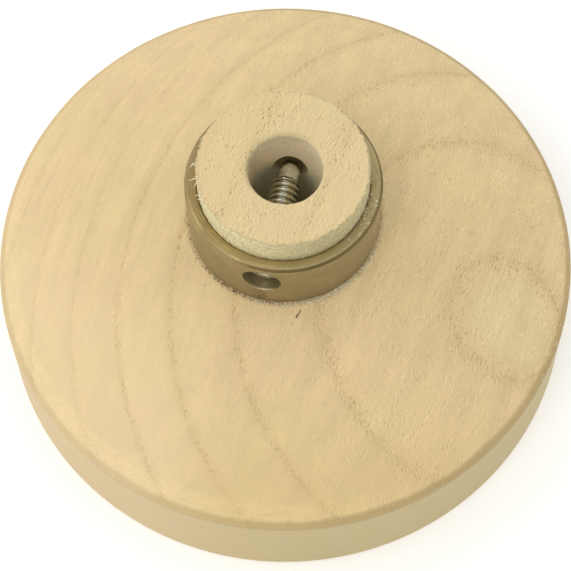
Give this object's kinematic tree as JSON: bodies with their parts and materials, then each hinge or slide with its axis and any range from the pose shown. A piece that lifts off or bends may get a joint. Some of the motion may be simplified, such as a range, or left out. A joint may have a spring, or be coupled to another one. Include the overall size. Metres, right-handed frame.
{
  "type": "wooden carving disc with set screw hub",
  "caption": "Turned wooden disc with a hub on its back, a brass reinforcing collar and a dog point set screw that clamps it to a spindle.",
  "frame": {"origin": "centre of the flat front face, on the spindle axis; the part rests on this face", "axes": "+Z along the spindle axis, from the front face to the hub's end; -Y towards the side the set screw enters, which lies 14 degrees from it towards -X"},
  "size_m": [0.127, 0.127, 0.0632],
  "materials": {
    "maple": "bare sanded wood",
    "aged_brass": "aged, dull, scuffed",
    "dark_steel": "oiled plain steel"
  },
  "bodies": {
    "disc": {"disc_with_hub": "maple", "collar": "aged_brass"},
    "screw": {"set_screw": "dark_steel"}
  },
  "joints": [
    {"name": "screw_feed", "type": "slide", "parent": "disc", "child": "screw", "axis": [-0.2419, -0.9703, 0], "range_m": [-0.0052, 0.0153]}
  ]
}
